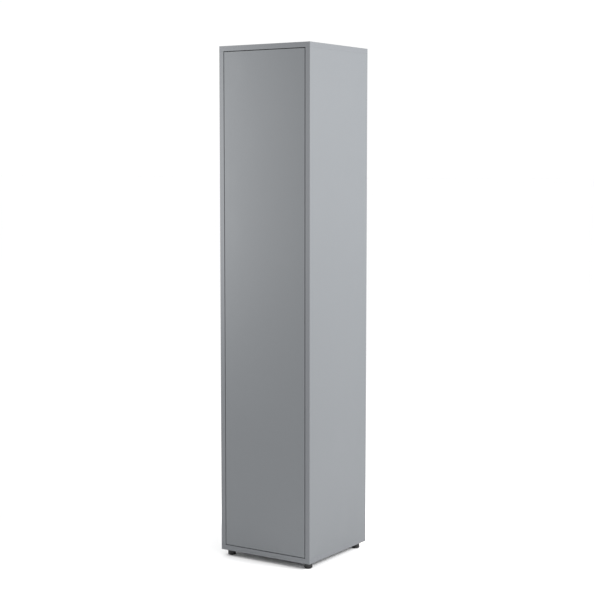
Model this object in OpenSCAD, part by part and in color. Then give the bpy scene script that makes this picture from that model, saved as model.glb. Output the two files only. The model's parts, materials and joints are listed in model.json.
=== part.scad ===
// Tall locker cabinet of coated board with one inset door on concealed hinges.
// +Z is up, +X is to the right as seen from the front, and the door faces -Y.
// The origin is on the floor, at the middle of the footprint.

/* [Carcass] */
// Width over the side panels
body_w = 455; // [370:1:700]
// Depth from the door's face to the rear edges
body_d = 460; // [380:1:700]
// Height of the carcass without its feet
carcass_h = 2165; // [1750:1:2700]
// Thickness of the side, top and bottom boards
board_t = 22; // [18:1:30]
// Thickness of the plastic edge bands
band_t = 1; // [0.5:0.1:2]
// Thickness of the back sheets
back_t = 3; // [2.5:0.1:6]
// Depth of the grooves that hold the back sheets
groove_depth = 7; // [5:1:9]
// Distance from the rear edge to the back sheets
back_inset = 10; // [6:1:25]

/* [Door] */
// Thickness of the door
door_t = 18; // [17:1:22]
// Gap between the door and the frame on every side
door_gap = 3; // [2:0.5:4]

/* [Shelves] */
// Thickness of the shelves
shelf_t = 18; // [16:1:25]
// Gap at each end of a loose shelf
shelf_end_gap = 1; // [0.5:0.5:2]
// Distance from the door's back to the shelves' front edges
shelf_setback = 10; // [6:1:40]
// Gap between the shelves and the back sheets
shelf_rear_gap = 2; // [1.5:0.5:10]
// Pitch of the rows of holes for shelf pins
hole_pitch = 32; // [25:1:40]
// Diameter of the holes for shelf pins
pin_hole_d = 5; // [4:0.5:7]

/* [Feet] */
// Height of the feet when they are screwed right in
foot_h = 27; // [22:1:60]
// Diameter of the feet
foot_d = 34; // [30:1:60]
// Distance from the side's outer face to a foot's middle
foot_inset_x = 29; // [22:1:60]
// Distance from the front or rear edge to a foot's middle
foot_inset_y = 37; // [22:1:80]

/* [Hinges] */
// Diameter of the hinge cups
cup_d = 35; // [35:1:40]
// Depth of the hinge cups in the door
cup_depth = 12.5; // [12.5:0.1:14]
// Width of door left between its edge and a cup
cup_tab = 3.5; // [3:0.5:6]
// Distance from the ends of the door to the end hinges
hinge_end = 100; // [80:1:160]

/* [Latch] */
// Height of the push latch above the fixed shelf
latch_rise = 90; // [60:1:200]
// Travel of the latch plunger
latch_travel = 14; // [8:1:20]

/* [Fittings] */
// Distance from a board's end to the middle of a cam lock
cam_setback = 34; // [30:1:40]
// Diameter of the cam locks
cam_d = 15; // [14:1:18]
// Distance from the front and rear edges to the cam dowels
joint_inset = 80; // [60:1:120]
// Distance between the two wall brackets
bracket_span = 300; // [200:1:300]

/* [Hidden] */

$fn = 48;
slack = 0.05;
band_seam = 0.1;
left_x = -body_w / 2;
inner_l = left_x + board_t;
inner_r = -inner_l;
front_y = -body_d / 2;
rear_y = body_d / 2;
base_z = foot_h;
top_z = foot_h + carcass_h;
floor_z = base_z + board_t;
ceil_z = top_z - board_t;
mid_z = (floor_z + ceil_z) / 2;
back_y = rear_y - back_inset - back_t;

door_x = inner_l + door_gap;
door_w = inner_r - inner_l - 2 * door_gap;
door_z = floor_z + door_gap;
door_h = ceil_z - floor_z - 2 * door_gap;

shelf_front = front_y + door_t + shelf_setback;
shelf_rear = back_y - shelf_rear_gap;
fixed_z = mid_z - shelf_t / 2;
line_inset = 37;
front_line = front_y + door_t + line_inset;
rear_line = shelf_rear - line_inset;
pin_hole_r = pin_hole_d / 2;
pin_hole_depth = 10;
pin_head_r = 3;
pin_head_len = 8;

hinge_count = 4;
hinge_first = door_z + hinge_end;
hinge_step = (door_h - 2 * hinge_end) / (hinge_count - 1);
plate_holes = 32;
function hinge_z(n) = hinge_first + (n - 1) * hinge_step;

// Heights of the shelf pins: each shelf sits a few holes from a hinge's plate,
// or halfway between that shelf and the end of the carcass.
clear_holes = 3;
low_pin = hinge_z(2) + plate_holes / 2 - clear_holes * hole_pitch;
high_pin = hinge_z(3) - plate_holes / 2 + (clear_holes - 1) * hole_pitch;
low_half = round((low_pin - floor_z) / 2 / hole_pitch) * hole_pitch;
high_half = round((ceil_z - high_pin - shelf_t) / 2 / hole_pitch) * hole_pitch;
shelf_pins_z = [low_pin - low_half, low_pin, high_pin, high_pin + high_half];
spare_holes = [-hole_pitch, 0, hole_pitch];

// Hinge geometry in plan: the first value is to the right of the left side panel's
// inner face, the second is back from the front. z values are from the hinge's middle.
cup_r = cup_d / 2;
cup_wall = 0.8;
cup_in_r = cup_r - cup_wall;
cup_u = door_gap + cup_tab + cup_r;
cup_lip = 1.2;
ear_back = 6;
ear_up = 24;
ear_r = 6;
cup_screw_r = 1.75;
cup_screw_len = 10;
front_pivot = [cup_u + 13, door_t + 2.6];
rear_pivot = [cup_u + 15.3, door_t + 11];
front_cup_pin = [cup_u - 10.7, door_t - 4.5];
rear_cup_pin = [cup_u - 11.8, door_t - 1.3];
front_path = [front_cup_pin, [cup_u - 12.2, door_t - 9.4], [cup_u + 3.5, door_t - 9.7], front_pivot];
rear_path = [rear_cup_pin, [cup_u - 10.1, door_t - 6.4], [cup_u + 1.6, door_t - 5.1], rear_pivot];
arm_path = [front_pivot, rear_pivot, [cup_u + 12, door_t + 20], [13, door_t + 38], [13, door_t + 68]];
pin_r = 1;
knuckle = 1.04;
link_half_w = 1.5;
eye_r = 2.1;
slot_half_w = 1.45;
slot_eye_r = 2.5;
slot_in = 0.6;
slot_out = 2.4;
rear_link_z = 2.4;
front_link_z = [2.8, 3.9];
arm_z = [4.3, 5.5];
arm_half_w = 5;
arm_eye_r = 2.4;
arm_web = 1.2;
arm_web_inset = 0.3;
rivet_r = 1.8;
rivet_head = 0.6;
line_v = door_t + line_inset;
plate_t = 2;
plate_wing_half = 8;
plate_block_u = 14;
plate_block_v = [door_t + 28, door_t + 70];
plate_block_z = 4.2;
plate_wing_z = plate_holes / 2 + 7;
plate_screw_r = 2.2;
plate_screw_len = 9;
arm_screws_v = [door_t + 46, door_t + 62];
arm_screw_r = 2;
arm_screw_in = 9;
small_screw_r = 1.5;
small_screw_in = 9;
arm_screw_spare = 0.5;

// Screw heads: radius and height.
recess_half_w = 0.4;
recess_reach = 0.6;
recess_floor = 0.4;
bracket_head = [3.5, 2];
cup_head = [3.3, 1.6];
plate_head = [4, 1.8];
arm_head = [3.4, 1.4];
latch_head = [3, 1.8];
strike_head = [2.6, 1];

latch_z = fixed_z + shelf_t + latch_rise;
plunger_len = 44;
latch_spring_room = 4;
latch_bore = plunger_len + latch_travel + latch_spring_room;
latch_end_wall = 14;
latch_len = latch_bore + latch_end_wall;
latch_w = 20;
latch_h = 24;
latch_base = 3;
latch_u = 13;
latch_reveal = 3;
latch_front = front_y + door_t + latch_reveal;
latch_screw_in = 18;
latch_ear = 8;
latch_ear_screw = latch_ear / 2;
latch_screws_at = [[latch_front + latch_screw_in, latch_z + latch_w / 2 + latch_ear_screw],
    [latch_front + latch_len - latch_screw_in, latch_z - latch_w / 2 - latch_ear_screw]];
plunger_x = inner_r - latch_u;
plunger_r = 4.5;
plunger_slack = 0.08;
strike_t = 1.2;
strike_gap = 0.3;
strike_w = 16;
strike_h = 40;
strike_screw_up = 14;
plunger_front = front_y + door_t + strike_t + strike_gap;
magnet_r = 3.5;
magnet_t = 3;
spring_seat = 6;
spring_r = 2.8;
spring_wire_r = 0.4;
spring_turns = 8;

cam_r = cam_d / 2;
cam_spare = 2.8;
cam_slot = 2.9;
cam_cross = [3.5, 0.6, 1.5];
dowel_thread_r = 2.5;
dowel_thread_len = 11;
dowel_shank_r = 3;
dowel_neck_r = 1.8;
dowel_head_r = 2.6;
dowel_shank_gap = 2;
dowel_head_from = [4, 1.5];
wood_dowel_r = 4;
wood_dowel_len = 30;
wood_dowel_step = 32;
shelf_joint_inset = 60;
shelf_joint_y = [shelf_front + shelf_joint_inset, shelf_rear - shelf_joint_inset];
shelf_dowel_in = 12;
function shelf_dowel_step(y) = y < 0 ? wood_dowel_step : -wood_dowel_step;

bracket_w = 30;
bracket_leg = 40;
bracket_t = 2.5;
bracket_screw_y = [back_y - 32, back_y - 16];
bracket_screw_in = 14;
wall_hole_r = 3.25;
wall_hole_drop = 25;

strip_h = 20;
strip_lip = 1;
strip_web = 2;

foot_pad_h = 7.5;
foot_seam = 0.5;
pad_edge = 3.5;
stem_r = 10;
stem_slack = 0.08;
stem_len = 12;
spigot_r = 5;
spigot_h = 12;

board_grey = [0.56, 0.57, 0.59];
band_grey = [0.53, 0.54, 0.56];
steel = [0.75, 0.76, 0.78];
black = [0.08, 0.08, 0.09];
white = [0.9, 0.9, 0.9];
beech = [0.8, 0.66, 0.46];

module box(low, high) {
    translate(low) cube(high - low);
}

// Copies its children at both ends of the depth, mirrored about the middle.
module front_and_rear() {
    children();
    mirror([0, 1, 0]) children();
}

module left_and_right() {
    children();
    mirror([1, 0, 0]) children();
}

module top_and_bottom() {
    children();
    translate([0, 0, 2 * mid_z]) mirror([0, 0, 1]) children();
}

// A flat bar through the points, with knuckles a little wider than its stretches.
module bar(points, half_w, low, high) {
    translate([0, 0, low]) linear_extrude(high - low) {
        for (p = points) translate(p) circle(half_w * knuckle);
        for (i = [0 : len(points) - 2]) {
            run = points[i + 1] - points[i];
            translate(points[i]) rotate(atan2(run[1], run[0]))
                translate([0, -half_w]) square([norm(run), 2 * half_w]);
        }
    }
}

module pin(place, r, low, high) {
    translate([place[0], place[1], low]) cylinder(r = r, h = high - low);
}

// ---- Carcass boards ----

// Bores for cam locks and dowels where the left side meets the bottom panel.
module corner_bores_in_side() {
    front_and_rear() {
        translate([inner_l - board_t / 2, front_y + joint_inset, floor_z - 1])
            cylinder(r = wood_dowel_r, h = cam_setback + 1);
        translate([inner_l + 1, front_y + joint_inset, floor_z + cam_setback])
            rotate([0, -90, 0]) cylinder(r = cam_r + slack, h = board_t / 2 + cam_spare + 1);
        translate([inner_l - board_t / 2, front_y + joint_inset + wood_dowel_step, floor_z - 1])
            cylinder(r = wood_dowel_r + slack, h = wood_dowel_len / 2 + 1.5);
    }
}

module corner_bores_in_bottom() {
    left_and_right() front_and_rear() {
        translate([inner_l - board_t / 2, front_y + joint_inset, floor_z - dowel_thread_len - slack])
            cylinder(r = dowel_thread_r + slack, h = dowel_thread_len + 1);
        translate([inner_l - board_t / 2, front_y + joint_inset + wood_dowel_step,
            floor_z - wood_dowel_len / 2 - slack])
            cylinder(r = wood_dowel_r + slack, h = wood_dowel_len / 2 + 1);
    }
}

// The stopped groove in the top and bottom panels, or through in the sides.
module back_groove(low_z, high_z) {
    box([inner_l - groove_depth, back_y, low_z], [inner_r + groove_depth, back_y + back_t, high_z]);
}

module side_board() {
    difference() {
        box([left_x, front_y + band_t, floor_z], [inner_l, rear_y, ceil_z]);
        back_groove(floor_z - 1, ceil_z + 1);
        top_and_bottom() corner_bores_in_side();
        for (z = shelf_pins_z, up = spare_holes, y = [front_line, rear_line])
            translate([inner_l + 1, y, z + up]) rotate([0, -90, 0])
                cylinder(r = pin_hole_r, h = pin_hole_depth + 1);
        for (y = shelf_joint_y)
            translate([inner_l + 1, y, mid_z]) rotate([0, -90, 0])
                cylinder(r = dowel_thread_r + slack, h = dowel_thread_len + slack + 1);
        for (y = shelf_joint_y)
            translate([inner_l + 1, y + shelf_dowel_step(y), mid_z]) rotate([0, -90, 0])
                cylinder(r = wood_dowel_r + slack, h = shelf_dowel_in + slack + 1);
    }
}

module side_panel_left() {
    color(board_grey) difference() {
        side_board();
        for (n = [1 : hinge_count], up = [-1, 1])
            translate([inner_l + 1, front_line, hinge_z(n) + up * plate_holes / 2])
                rotate([0, -90, 0]) cylinder(r = plate_screw_r + slack, h = plate_screw_len + 1 + slack);
    }
}

module side_panel_right() {
    color(board_grey) difference() {
        mirror([1, 0, 0]) side_board();
        for (at = latch_screws_at)
            translate([inner_r - 1, at[0], at[1]]) rotate([0, 90, 0])
                cylinder(r = small_screw_r + slack, h = small_screw_in + 1 + slack);
    }
}

module bottom_panel() {
    color(board_grey) difference() {
        box([left_x + band_t, front_y + band_t, base_z], [-left_x - band_t, rear_y, floor_z]);
        corner_bores_in_bottom();
        back_groove(floor_z - groove_depth, floor_z + 1);
        left_and_right() front_and_rear()
            translate([left_x + foot_inset_x, front_y + foot_inset_y, base_z - 1])
                cylinder(r = spigot_r + slack, h = spigot_h + 1.5);
    }
}

module top_panel() {
    color(board_grey) difference() {
        box([left_x + band_t, front_y + band_t, ceil_z], [-left_x - band_t, rear_y, top_z]);
        translate([0, 0, 2 * mid_z]) mirror([0, 0, 1]) {
            corner_bores_in_bottom();
            back_groove(floor_z - groove_depth, floor_z + 1);
        }
        left_and_right() for (y = bracket_screw_y)
            translate([-bracket_span / 2, y, ceil_z - 1])
                cylinder(r = small_screw_r + slack, h = bracket_screw_in + 1 + slack);
    }
}

module side_edge_bands() {
    color(band_grey) left_and_right()
        box([left_x, front_y, floor_z], [inner_l, front_y + band_t, ceil_z]);
}

module end_board_bands() {
    box([left_x, front_y, base_z], [-left_x, front_y + band_t, floor_z]);
    left_and_right()
        box([left_x, front_y + band_t + band_seam, base_z], [left_x + band_t, rear_y, floor_z]);
}

module bottom_edge_bands() {
    color(band_grey) end_board_bands();
}

module top_edge_bands() {
    color(band_grey) translate([0, 0, ceil_z - base_z]) end_board_bands();
}

// ---- Back ----

module back_sheet(low_z, high_z) {
    box([inner_l - groove_depth + slack, back_y, low_z],
        [inner_r + groove_depth - slack, back_y + back_t, high_z]);
}

module back_panel_lower() {
    color(white) back_sheet(floor_z - groove_depth + slack, mid_z - strip_web / 2);
}

module back_panel_upper() {
    color(white) difference() {
        back_sheet(mid_z + strip_web / 2, ceil_z + groove_depth - slack);
        left_and_right()
            translate([-bracket_span / 2, back_y - 1, ceil_z - wall_hole_drop]) rotate([-90, 0, 0])
                cylinder(r = wall_hole_r + 1, h = back_t + 2);
    }
}

// An H-shaped strip that joins the two back sheets behind the fixed shelf.
module back_joint_strip() {
    color(white) difference() {
        box([inner_l, back_y - strip_lip, mid_z - strip_h / 2],
            [inner_r, back_y + back_t + strip_lip, mid_z + strip_h / 2]);
        top_and_bottom()
            box([inner_l - 1, back_y, mid_z - strip_h / 2 - 1],
                [inner_r + 1, back_y + back_t, mid_z - strip_web / 2]);
    }
}

// ---- Shelves ----

module fixed_shelf() {
    color(board_grey) difference() {
        box([inner_l, shelf_front + band_t, fixed_z], [inner_r, shelf_rear, fixed_z + shelf_t]);
        left_and_right() for (y = shelf_joint_y) {
            translate([inner_l - 1, y, mid_z]) rotate([0, 90, 0])
                cylinder(r = wood_dowel_r, h = cam_setback + 1);
            translate([inner_l + cam_setback, y, fixed_z - 1])
                cylinder(r = cam_r + slack, h = shelf_t / 2 + cam_spare + 1);
            translate([inner_l - 1, y + shelf_dowel_step(y), mid_z]) rotate([0, 90, 0])
                cylinder(r = wood_dowel_r + slack, h = wood_dowel_len - shelf_dowel_in + 1.5);
        }
    }
}

module loose_shelf(n) {
    color(board_grey)
        box([inner_l + shelf_end_gap, shelf_front + band_t, shelf_pins_z[n - 1] + pin_head_r],
            [inner_r - shelf_end_gap, shelf_rear, shelf_pins_z[n - 1] + pin_head_r + shelf_t]);
}

module shelf_edge_bands() {
    color(band_grey) {
        box([inner_l, shelf_front, fixed_z], [inner_r, shelf_front + band_t, fixed_z + shelf_t]);
        for (z = shelf_pins_z)
            box([inner_l + shelf_end_gap, shelf_front, z + pin_head_r],
                [inner_r - shelf_end_gap, shelf_front + band_t, z + pin_head_r + shelf_t]);
    }
}

module shelf_pins() {
    color(steel) left_and_right() for (z = shelf_pins_z, y = [front_line, rear_line])
        translate([inner_l, y, z]) {
            translate([-pin_hole_depth + 0.5, 0, 0]) rotate([0, 90, 0])
                cylinder(r = pin_hole_r - slack, h = pin_hole_depth);
            rotate([0, 90, 0]) cylinder(r = pin_head_r, h = pin_head_len);
        }
}

// ---- Board fittings ----

// A cam lock with its face at z = 0 and its dowel coming in along +Y.
module cam_lock(axis_depth) {
    difference() {
        translate([0, 0, -axis_depth - cam_spare]) cylinder(r = cam_r, h = axis_depth + cam_spare);
        box([-cam_slot, -cam_r - 1, -axis_depth - cam_slot], [cam_slot, cam_slot, -axis_depth + cam_slot]);
        for (turn = [0, 90]) rotate(turn)
            box([-cam_cross[0], -cam_cross[1], -cam_cross[2]], [cam_cross[0], cam_cross[1], 1]);
    }
}

// A steel dowel screwed into one board, with its head in the other board's cam.
module cam_dowel() {
    pin([0, 0], dowel_thread_r, -dowel_thread_len, 0);
    pin([0, 0], dowel_shank_r, 0, cam_setback - cam_r - dowel_shank_gap);
    pin([0, 0], dowel_neck_r, cam_setback - cam_r - dowel_shank_gap, cam_setback - dowel_head_from[0]);
    pin([0, 0], dowel_head_r, cam_setback - dowel_head_from[0], cam_setback - dowel_head_from[1]);
}

module cam_locks() {
    color(steel) left_and_right() {
        top_and_bottom() front_and_rear()
            translate([inner_l, front_y + joint_inset, floor_z + cam_setback])
                rotate([90, 0, 90]) cam_lock(board_t / 2);
        for (y = shelf_joint_y)
            translate([inner_l + cam_setback, y, fixed_z]) rotate([180, 0, 90]) cam_lock(shelf_t / 2);
    }
}

module cam_dowels() {
    color(steel) left_and_right() {
        top_and_bottom() front_and_rear()
            translate([inner_l - board_t / 2, front_y + joint_inset, floor_z]) cam_dowel();
        for (y = shelf_joint_y) translate([inner_l, y, mid_z]) rotate([0, 90, 0]) cam_dowel();
    }
}

module wood_dowels() {
    color(beech) left_and_right() {
        top_and_bottom() front_and_rear()
            pin([inner_l - board_t / 2, front_y + joint_inset + wood_dowel_step], wood_dowel_r,
                floor_z - wood_dowel_len / 2, floor_z + wood_dowel_len / 2);
        for (y = shelf_joint_y)
            translate([inner_l - shelf_dowel_in, y + shelf_dowel_step(y), mid_z]) rotate([0, 90, 0])
                cylinder(r = wood_dowel_r, h = wood_dowel_len);
    }
}

// A screw with its head above z = 0 and its shank below. The head's two sizes are
// its radius and its height.
module screw(head, shank_r, shank_len) {
    difference() {
        union() {
            translate([0, 0, -shank_len]) cylinder(r = shank_r, h = shank_len);
            cylinder(r = head[0], h = head[1]);
        }
        for (turn = [0, 90]) rotate(turn)
            box([-head[0] * recess_reach, -recess_half_w, head[1] * recess_floor],
                [head[0] * recess_reach, recess_half_w, head[1] + 1]);
    }
}

// ---- Wall brackets ----

module wall_bracket() {
    color(steel) difference() {
        union() {
            box([-bracket_w / 2, back_y - bracket_t, ceil_z - bracket_leg],
                [bracket_w / 2, back_y, ceil_z]);
            box([-bracket_w / 2, back_y - bracket_leg, ceil_z - bracket_t],
                [bracket_w / 2, back_y, ceil_z]);
        }
        translate([0, back_y - bracket_t - 1, ceil_z - wall_hole_drop]) rotate([-90, 0, 0])
            cylinder(r = wall_hole_r, h = bracket_t + 2);
        for (y = bracket_screw_y)
            pin([0, y], small_screw_r + slack, ceil_z - bracket_t - 1, ceil_z + 1);
    }
}

module wall_brackets() {
    for (x = [-bracket_span / 2, bracket_span / 2]) translate([x, 0, 0]) wall_bracket();
}

module bracket_screws() {
    color(steel) left_and_right() for (y = bracket_screw_y)
        translate([-bracket_span / 2, y, ceil_z - bracket_t]) rotate([180, 0, 0])
            screw(bracket_head, small_screw_r, bracket_t + bracket_screw_in);
}

// ---- Feet ----

module foot_sockets() {
    color(black) left_and_right() front_and_rear()
        translate([left_x + foot_inset_x, front_y + foot_inset_y, 0]) difference() {
            union() {
                pin([0, 0], foot_d / 2, foot_pad_h + foot_seam, base_z);
                pin([0, 0], spigot_r, base_z, base_z + spigot_h);
            }
            pin([0, 0], stem_r + stem_slack, 0, foot_pad_h + foot_seam + stem_len + 0.5);
        }
}

// A levelling foot: a pad on a stem that screws into its socket.
module foot(side_x, side_y) {
    color(black)
        translate([side_x * (body_w / 2 - foot_inset_x), side_y * (body_d / 2 - foot_inset_y), 0]) {
            rotate_extrude() polygon([[0, 0], [foot_d / 2 - pad_edge, 0], [foot_d / 2, pad_edge],
                [foot_d / 2, foot_pad_h], [0, foot_pad_h]]);
            pin([0, 0], stem_r, foot_pad_h, foot_pad_h + stem_len);
        }
}

// ---- Door ----

module door_panel() {
    color(board_grey) difference() {
        box([door_x + band_t, front_y, door_z + band_t],
            [door_x + door_w - band_t, front_y + door_t, door_z + door_h - band_t]);
        for (n = [1 : hinge_count]) at_hinge(n) {
            translate([cup_u, door_t - cup_depth - slack, 0]) rotate([-90, 0, 0])
                cylinder(r = cup_r + slack, h = cup_depth + 1);
            for (up = [-ear_up, ear_up])
                translate([cup_u + ear_back, door_t + 1, up]) rotate([90, 0, 0])
                    cylinder(r = cup_screw_r + slack, h = cup_screw_len + 1 + slack);
        }
        for (up = [-1, 1])
            translate([plunger_x, front_y + door_t + 1, latch_z + up * strike_screw_up]) rotate([90, 0, 0])
                cylinder(r = small_screw_r + slack, h = small_screw_in + 1 + slack);
    }
}

module door_edge_bands() {
    color(band_grey) {
        for (x = [door_x, door_x + door_w - band_t])
            box([x, front_y, door_z], [x + band_t, front_y + door_t, door_z + door_h]);
        for (z = [door_z, door_z + door_h - band_t])
            box([door_x + band_t + band_seam, front_y, z],
                [door_x + door_w - band_t - band_seam, front_y + door_t, z + band_t]);
    }
}

// ---- Hinges ----

module at_hinge(n) {
    translate([inner_l, front_y, hinge_z(n)]) children();
}

// A pressed cup with two screw ears, in the door.
module hinge_cup(n) {
    color(steel) at_hinge(n) difference() {
        union() {
            translate([cup_u, door_t - cup_depth, 0]) rotate([-90, 0, 0])
                cylinder(r = cup_r, h = cup_depth);
            translate([cup_u, door_t, 0]) rotate([-90, 0, 0]) cylinder(r = cup_r + 1, h = cup_lip);
            box([cup_u, door_t, -ear_up], [cup_u + ear_back + ear_r, door_t + cup_lip, ear_up]);
            for (up = [-ear_up, ear_up]) translate([cup_u + ear_back, door_t, up]) rotate([-90, 0, 0])
                cylinder(r = ear_r, h = cup_lip);
        }
        translate([cup_u, door_t - cup_depth + cup_wall, 0]) rotate([-90, 0, 0])
            cylinder(r = cup_in_r, h = cup_depth + cup_lip);
        for (up = [-ear_up, ear_up])
            translate([cup_u + ear_back, door_t - 1, up]) rotate([-90, 0, 0])
                cylinder(r = cup_screw_r + slack, h = cup_lip + 2);
        for (place = [front_cup_pin, rear_cup_pin])
            pin(place, pin_r + slack, -cup_pin_half(place) - slack, cup_pin_half(place) + slack);
    }
}

// Half the length of a pin whose ends sit in the cup's wall.
function cup_pin_half(place) = sqrt(pow(cup_r - 2 * slack, 2) - pow(cup_u - place[0] + pin_r, 2));

module hinge_cup_pins() {
    color(steel) for (n = [1 : hinge_count]) at_hinge(n) {
        pin(rear_cup_pin, pin_r, -cup_pin_half(rear_cup_pin), cup_pin_half(rear_cup_pin));
        for (side = [0, 1]) mirror([0, 0, side])
            pin(front_cup_pin, pin_r, front_link_z[0], cup_pin_half(front_cup_pin));
    }
}

module hinge_cup_screws() {
    color(steel) for (n = [1 : hinge_count]) at_hinge(n) for (up = [-ear_up, ear_up])
        translate([cup_u + ear_back, door_t + cup_lip, up]) rotate([-90, 0, 0])
            screw(cup_head, cup_screw_r, cup_lip + cup_screw_len);
}

// Two plates, one on each side of the rear link.
module front_link(n) {
    color(steel) at_hinge(n) for (side = [0, 1]) mirror([0, 0, side]) difference() {
        union() {
            bar(front_path, link_half_w, front_link_z[0], front_link_z[1]);
            for (place = [front_pivot, front_cup_pin]) pin(place, eye_r, front_link_z[0], front_link_z[1]);
        }
        for (place = [front_pivot, front_cup_pin]) pin(place, pin_r + slack, 0, front_link_z[1] + 1);
    }
}

// One thick link, with a slot where it rides on the arm's pin.
module rear_link(n) {
    run = rear_cup_pin - rear_pivot;
    way = run / norm(run);
    slot = [rear_pivot + slot_in * way, rear_pivot - slot_out * way];
    color(steel) at_hinge(n) difference() {
        union() {
            bar(rear_path, link_half_w, -rear_link_z, rear_link_z);
            bar(slot, slot_eye_r, -rear_link_z, rear_link_z);
            pin(rear_cup_pin, eye_r, -rear_link_z, rear_link_z);
        }
        bar(slot, slot_half_w, -rear_link_z - 1, rear_link_z + 1);
        pin(rear_cup_pin, pin_r + slack, -rear_link_z - 1, rear_link_z + 1);
    }
}

// A thin strip along the room side of the arm, from one point to the next.
module arm_strip(from, to) {
    run = to - from;
    translate([from[0], from[1], -arm_z[0] - arm_web_inset]) rotate(atan2(run[1], run[0]))
        translate([0, arm_web_inset - arm_half_w])
            cube([norm(run), arm_web, 2 * (arm_z[0] + arm_web_inset)]);
}

// A cranked channel: two cheeks and a web.
module hinge_arm(n) {
    color(steel) at_hinge(n) difference() {
        union() {
            for (side = [0, 1]) mirror([0, 0, side]) {
                bar([arm_path[0], arm_path[1]], arm_eye_r, arm_z[0], arm_z[1]);
                bar([for (i = [1 : 4]) arm_path[i]], arm_half_w, arm_z[0], arm_z[1]);
            }
            for (i = [2, 3]) arm_strip(arm_path[i], arm_path[i + 1]);
        }
        for (place = [front_pivot, rear_pivot]) pin(place, pin_r + slack, -arm_z[1] - 1, arm_z[1] + 1);
        for (back = arm_screws_v)
            translate([plate_block_u, back, 0]) rotate([0, 90, 0])
                cylinder(r = arm_screw_r + slack, h = 2 * arm_half_w);
    }
}

module hinge_arm_pins() {
    color(steel) for (n = [1 : hinge_count]) at_hinge(n) {
        pin(rear_pivot, pin_r, -arm_z[1], arm_z[1]);
        for (side = [0, 1]) mirror([0, 0, side]) {
            pin(front_pivot, pin_r, front_link_z[0], arm_z[1]);
            for (place = [front_pivot, rear_pivot])
                pin(place, rivet_r, arm_z[1], arm_z[1] + rivet_head);
        }
    }
}

// The mounting plates: each is a block with two wings screwed to the side panel.
module hinge_plates() {
    color(steel) for (n = [1 : hinge_count]) at_hinge(n) difference() {
        union() {
            box([0, line_v - plate_wing_half, -plate_wing_z],
                [plate_t, line_v + plate_wing_half, plate_wing_z]);
            box([0, plate_block_v[0], -plate_block_z], [plate_block_u, plate_block_v[1], plate_block_z]);
        }
        for (up = [-1, 1])
            translate([-1, line_v, up * plate_holes / 2]) rotate([0, 90, 0])
                cylinder(r = plate_screw_r + slack, h = plate_t + 2);
        for (back = arm_screws_v)
            translate([plate_block_u - arm_screw_in, back, 0]) rotate([0, 90, 0])
                cylinder(r = arm_screw_r + slack, h = arm_screw_in + 1);
    }
}

module hinge_plate_screws() {
    color(steel) for (n = [1 : hinge_count]) at_hinge(n) for (up = [-1, 1])
        translate([plate_t, line_v, up * plate_holes / 2]) rotate([0, 90, 0])
            screw(plate_head, plate_screw_r, plate_t + plate_screw_len);
}

module hinge_arm_screws() {
    color(steel) for (n = [1 : hinge_count]) at_hinge(n) for (back = arm_screws_v)
        translate([arm_path[3][0] + arm_half_w, back, 0]) rotate([0, 90, 0])
            screw(arm_head, arm_screw_r,
                arm_path[3][0] + arm_half_w - plate_block_u + arm_screw_in - arm_screw_spare);
}

// ---- Push latch ----

module latch_housing() {
    color(black) difference() {
        union() {
            box([inner_r - latch_h, latch_front, latch_z - latch_w / 2],
                [inner_r, latch_front + latch_len, latch_z + latch_w / 2]);
            box([inner_r - latch_base, latch_front + latch_ear, latch_z - latch_w / 2 - latch_ear],
                [inner_r, latch_front + latch_len - latch_ear, latch_z + latch_w / 2 + latch_ear]);
        }
        translate([plunger_x, latch_front - 1, latch_z]) rotate([-90, 0, 0])
            cylinder(r = plunger_r + plunger_slack, h = latch_bore + 1);
        for (at = latch_screws_at)
            translate([inner_r - latch_base - 1, at[0], at[1]]) rotate([0, 90, 0])
                cylinder(r = small_screw_r + slack, h = latch_base + 2);
    }
}

module latch_plunger() {
    color(white) translate([plunger_x, plunger_front, latch_z]) rotate([-90, 0, 0]) difference() {
        cylinder(r = plunger_r, h = plunger_len);
        translate([0, 0, -1]) cylinder(r = magnet_r + slack, h = magnet_t + 1);
        translate([0, 0, plunger_len - spring_seat]) cylinder(r = plunger_r - 1, h = spring_seat + 1);
    }
}

module latch_magnet() {
    color(steel) translate([plunger_x, plunger_front, latch_z]) rotate([-90, 0, 0])
        cylinder(r = magnet_r, h = magnet_t);
}

module latch_screws() {
    color(steel) for (at = latch_screws_at)
        translate([inner_r - latch_base, at[0], at[1]]) rotate([0, -90, 0])
            screw(latch_head, small_screw_r, latch_base + small_screw_in);
}

module strike_plate() {
    color(steel) difference() {
        box([plunger_x - strike_w / 2, front_y + door_t, latch_z - strike_h / 2],
            [plunger_x + strike_w / 2, front_y + door_t + strike_t, latch_z + strike_h / 2]);
        for (up = [-1, 1])
            translate([plunger_x, front_y + door_t - 1, latch_z + up * strike_screw_up]) rotate([-90, 0, 0])
                cylinder(r = small_screw_r + slack, h = strike_t + 2);
    }
}

module strike_screws() {
    color(steel) for (up = [-1, 1])
        translate([plunger_x, front_y + door_t + strike_t, latch_z + up * strike_screw_up])
            rotate([-90, 0, 0]) screw(strike_head, small_screw_r, strike_t + small_screw_in);
}

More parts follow.
